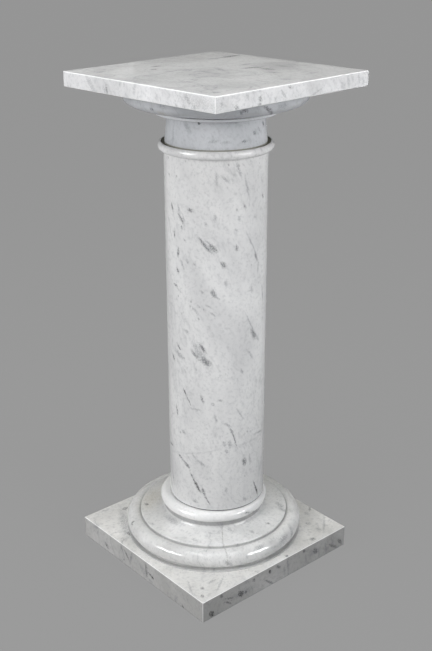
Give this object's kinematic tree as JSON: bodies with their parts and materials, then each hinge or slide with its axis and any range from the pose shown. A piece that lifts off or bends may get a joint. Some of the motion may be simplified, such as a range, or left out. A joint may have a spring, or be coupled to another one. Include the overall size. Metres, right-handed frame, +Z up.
{
  "type": "doric column",
  "caption": "Plain polished marble Doric column used as a pedestal: square plinth, round moulded base, smooth unfluted shaft, round capital and square top slab",
  "frame": {"origin": "middle of the plinth's underside, on the ground", "axes": "+Z up along the column, X and Y along the plinth's sides, -Y and +X the two side faces that the picture shows"},
  "size_m": [0.4258, 0.4258, 1.0206],
  "materials": {
    "plinth_marble": "honed to polished white marble, light grey clouding, small dark spots",
    "base_marble": "polished white marble, faint grey clouding, small chips on the rims",
    "shaft_marble": "polished white marble with short steep grey dashes and flecks",
    "capital_marble": "polished blue-grey marble, dirt in the seat under the neck",
    "slab_marble": "polished white marble with fine grey veins"
  },
  "bodies": {
    "root": {"plinth": "plinth_marble", "base_moulding": "base_marble", "shaft": "shaft_marble", "capital": "capital_marble", "top_slab": "slab_marble"}
  },
  "joints": []
}
